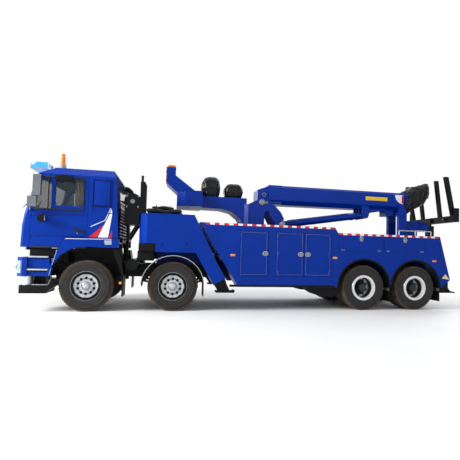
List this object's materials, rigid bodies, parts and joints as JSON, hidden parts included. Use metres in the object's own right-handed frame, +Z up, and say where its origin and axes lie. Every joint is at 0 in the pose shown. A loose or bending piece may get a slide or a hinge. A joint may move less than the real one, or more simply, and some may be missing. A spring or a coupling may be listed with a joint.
{
  "type": "heavy tow truck with slewing boom",
  "caption": "Heavy tow truck with a slewing telescopic boom, folded underlift, stabiliser legs and side lockers, painted blue.",
  "frame": {"origin": "on the ground under the middle of the truck's length and width", "axes": "+X towards the rear, -Y the truck's left side, +Z up"},
  "size_m": [10.6, 2.8, 3.4998],
  "materials": {
    "blue_paint": "gloss",
    "black_paint": "satin",
    "grey_steel": "brushed",
    "cast_iron": "rough",
    "silver_wheel": "satin",
    "tyre_rubber": "matt",
    "clear_glass": "clear",
    "lamp_lens": "clear",
    "roof_lens": "gloss",
    "dark_fabric": "matt",
    "trim_plastic": "matt",
    "mirror_housing": "matt"
  },
  "bodies": {
    "chassis": {"chassis_frame": "black_paint", "axles_and_springs": "cast_iron", "front_bumper": "blue_paint", "headlamps": "lamp_lens", "chassis_fittings": "black_paint", "locker_body_left": "blue_paint", "locker_body_right": "blue_paint", "front_box": "blue_paint", "slew_deck": "blue_paint", "rear_frame": "blue_paint"},
    "cab": {"cab_shell": "blue_paint", "cab_glass": "clear_glass", "cab_interior": "trim_plastic", "roof_lamps": "roof_lens"},
    "turntable": {"turntable": "blue_paint", "winch_covers": "dark_fabric"},
    "boom": {"boom_base": "blue_paint"},
    "boom_tip": {"boom_inner": "blue_paint", "boom_head_cover": "dark_fabric"},
    "lift_barrels": {"lift_barrels": "blue_paint"},
    "lift_rods": {"lift_rods": "grey_steel"},
    "underlift_arm": {"underlift_arm": "black_paint"},
    "underlift_slide": {"underlift_slide": "grey_steel"},
    "crossbar": {"crossbar": "black_paint"},
    "wheel_1_left": {"tyre_1_left": "tyre_rubber", "rim_1_left": "silver_wheel"},
    "knuckle_1_left": {"knuckle_1_left": "cast_iron"},
    "wheel_2_left": {"tyre_2_left": "tyre_rubber", "rim_2_left": "silver_wheel"},
    "knuckle_2_left": {"knuckle_2_left": "cast_iron"},
    "wheel_3_left": {"tyre_3_left": "tyre_rubber", "rim_3_left": "silver_wheel"},
    "wheel_4_left": {"tyre_4_left": "tyre_rubber", "rim_4_left": "silver_wheel"},
    "wheel_1_right": {"tyre_1_right": "tyre_rubber", "rim_1_right": "silver_wheel"},
    "knuckle_1_right": {"knuckle_1_right": "cast_iron"},
    "wheel_2_right": {"tyre_2_right": "tyre_rubber", "rim_2_right": "silver_wheel"},
    "knuckle_2_right": {"knuckle_2_right": "cast_iron"},
    "wheel_3_right": {"tyre_3_right": "tyre_rubber", "rim_3_right": "silver_wheel"},
    "wheel_4_right": {"tyre_4_right": "tyre_rubber", "rim_4_right": "silver_wheel"},
    "cab_door_left": {"cab_door_left": "blue_paint", "door_glass_left": "clear_glass", "mirrors_left": "mirror_housing"},
    "cab_door_right": {"cab_door_right": "blue_paint", "door_glass_right": "clear_glass", "mirrors_right": "mirror_housing"},
    "locker_door_1_left": {"locker_door_1_left": "blue_paint"},
    "locker_door_2_left": {"locker_door_2_left": "blue_paint"},
    "locker_door_3_left": {"locker_door_3_left": "blue_paint"},
    "locker_door_1_right": {"locker_door_1_right": "blue_paint"},
    "locker_door_2_right": {"locker_door_2_right": "blue_paint"},
    "locker_door_3_right": {"locker_door_3_right": "blue_paint"},
    "leg_front_left": {"leg_front_left": "black_paint"},
    "leg_rear_left": {"leg_rear_left": "black_paint"},
    "leg_front_right": {"leg_front_right": "black_paint"},
    "leg_rear_right": {"leg_rear_right": "black_paint"}
  },
  "joints": [
    {"name": "steer_1_left", "type": "hinge", "parent": "chassis", "child": "knuckle_1_left", "pos_m": [-3.93, -0.83, 0.545], "axis": [0, 0, 1], "range_deg": [-32, 32]},
    {"name": "steer_2_left", "type": "hinge", "parent": "chassis", "child": "knuckle_2_left", "pos_m": [-2.13, -0.83, 0.545], "axis": [0, 0, 1], "range_deg": [-24, 24]},
    {"name": "steer_1_right", "type": "hinge", "parent": "chassis", "child": "knuckle_1_right", "pos_m": [-3.93, 0.83, 0.545], "axis": [0, 0, 1], "range_deg": [-32, 32]},
    {"name": "steer_2_right", "type": "hinge", "parent": "chassis", "child": "knuckle_2_right", "pos_m": [-2.13, 0.83, 0.545], "axis": [0, 0, 1], "range_deg": [-24, 24]},
    {"name": "wheel_spin_1_left", "type": "hinge", "parent": "knuckle_1_left", "child": "wheel_1_left", "pos_m": [-3.93, -1.03, 0.545], "axis": [0, 1, 0], "continuous": true},
    {"name": "wheel_spin_2_left", "type": "hinge", "parent": "knuckle_2_left", "child": "wheel_2_left", "pos_m": [-2.13, -1.03, 0.545], "axis": [0, 1, 0], "continuous": true},
    {"name": "wheel_spin_3_left", "type": "hinge", "parent": "chassis", "child": "wheel_3_left", "pos_m": [2.445, -0.895, 0.545], "axis": [0, 1, 0], "continuous": true},
    {"name": "wheel_spin_4_left", "type": "hinge", "parent": "chassis", "child": "wheel_4_left", "pos_m": [3.845, -0.895, 0.545], "axis": [0, 1, 0], "continuous": true},
    {"name": "wheel_spin_1_right", "type": "hinge", "parent": "knuckle_1_right", "child": "wheel_1_right", "pos_m": [-3.93, 1.03, 0.545], "axis": [0, 1, 0], "continuous": true},
    {"name": "wheel_spin_2_right", "type": "hinge", "parent": "knuckle_2_right", "child": "wheel_2_right", "pos_m": [-2.13, 1.03, 0.545], "axis": [0, 1, 0], "continuous": true},
    {"name": "wheel_spin_3_right", "type": "hinge", "parent": "chassis", "child": "wheel_3_right", "pos_m": [2.445, 0.895, 0.545], "axis": [0, 1, 0], "continuous": true},
    {"name": "wheel_spin_4_right", "type": "hinge", "parent": "chassis", "child": "wheel_4_right", "pos_m": [3.845, 0.895, 0.545], "axis": [0, 1, 0], "continuous": true},
    {"name": "cab_tilt", "type": "hinge", "parent": "chassis", "child": "cab", "pos_m": [-5.13, 0, 1.2], "axis": [0, -1, 0], "range_deg": [0, 50]},
    {"name": "cab_door_left_swing", "type": "hinge", "parent": "cab", "child": "cab_door_left", "pos_m": [-5.05, -1.225, 1.36], "axis": [0, 0, -1], "range_deg": [0, 70]},
    {"name": "cab_door_right_swing", "type": "hinge", "parent": "cab", "child": "cab_door_right", "pos_m": [-5.05, 1.225, 1.36], "axis": [0, 0, 1], "range_deg": [0, 70]},
    {"name": "locker_door_1_left_swing", "type": "hinge", "parent": "chassis", "child": "locker_door_1_left", "pos_m": [-0.66, -1.25, 1.32], "axis": [0, 0, -1], "range_deg": [0, 110]},
    {"name": "locker_door_2_left_swing", "type": "hinge", "parent": "chassis", "child": "locker_door_2_left", "pos_m": [0.2, -1.25, 1.32], "axis": [0, 0, -1], "range_deg": [0, 110]},
    {"name": "locker_door_3_left_swing", "type": "hinge", "parent": "chassis", "child": "locker_door_3_left", "pos_m": [1.56, -1.25, 1.32], "axis": [0, 0, 1], "range_deg": [0, 110]},
    {"name": "locker_door_1_right_swing", "type": "hinge", "parent": "chassis", "child": "locker_door_1_right", "pos_m": [-0.66, 1.25, 1.32], "axis": [0, 0, 1], "range_deg": [0, 110]},
    {"name": "locker_door_2_right_swing", "type": "hinge", "parent": "chassis", "child": "locker_door_2_right", "pos_m": [0.2, 1.25, 1.32], "axis": [0, 0, 1], "range_deg": [0, 110]},
    {"name": "locker_door_3_right_swing", "type": "hinge", "parent": "chassis", "child": "locker_door_3_right", "pos_m": [1.56, 1.25, 1.32], "axis": [0, 0, -1], "range_deg": [0, 110]},
    {"name": "slew", "type": "hinge", "parent": "chassis", "child": "turntable", "pos_m": [0.12, 0, 1.74], "axis": [0, 0, 1], "range_deg": [-145, 145]},
    {"name": "boom_luff", "type": "hinge", "parent": "turntable", "child": "boom", "pos_m": [0.03, 0, 2.62], "axis": [0, -1, 0], "range_deg": [0, 60]},
    {"name": "boom_extend", "type": "slide", "parent": "boom", "child": "boom_tip", "axis": [1, 0, 0], "range_m": [0, 2.8]},
    {"name": "lift_barrel_swing", "type": "hinge", "parent": "turntable", "child": "lift_barrels", "pos_m": [0.57, 0, 2.075], "axis": [0, -1, 0], "range_deg": [0, 61.5]},
    {"name": "lift_rod_slide", "type": "slide", "parent": "lift_barrels", "child": "lift_rods", "axis": [0.9884, 0, 0.1516], "range_m": [0, 0.765]},
    {"name": "leg_front_left_slide", "type": "slide", "parent": "chassis", "child": "leg_front_left", "axis": [0.503, 0, -0.8643], "range_m": [0, 0.48]},
    {"name": "leg_rear_left_slide", "type": "slide", "parent": "chassis", "child": "leg_rear_left", "axis": [0, 0, -1], "range_m": [0, 0.42]},
    {"name": "leg_front_right_slide", "type": "slide", "parent": "chassis", "child": "leg_front_right", "axis": [0.503, 0, -0.8643], "range_m": [0, 0.48]},
    {"name": "leg_rear_right_slide", "type": "slide", "parent": "chassis", "child": "leg_rear_right", "axis": [0, 0, -1], "range_m": [0, 0.42]},
    {"name": "underlift_fold", "type": "hinge", "parent": "chassis", "child": "underlift_arm", "pos_m": [5.12, 0, 0.72], "axis": [0, 1, 0], "range_deg": [0, 95]},
    {"name": "underlift_extend", "type": "slide", "parent": "underlift_arm", "child": "underlift_slide", "axis": [0, 0, 1], "range_m": [0, 0.8]},
    {"name": "crossbar_swing", "type": "hinge", "parent": "underlift_slide", "child": "crossbar", "pos_m": [5.205, 0, 2.375], "axis": [1, 0, 0], "range_deg": [-20, 20]}
  ],
  "couplings": [
    {"joint": "steer_2_left", "follows": "steer_1_left", "ratio": 0.75},
    {"joint": "steer_1_right", "follows": "steer_1_left", "ratio": 1},
    {"joint": "steer_2_right", "follows": "steer_1_left", "ratio": 0.75},
    {"joint": "lift_barrel_swing", "follows": "boom_luff", "ratio": 1.0242},
    {"joint": "lift_rod_slide", "follows": "boom_luff", "m_per_rad": 0.72958}
  ]
}
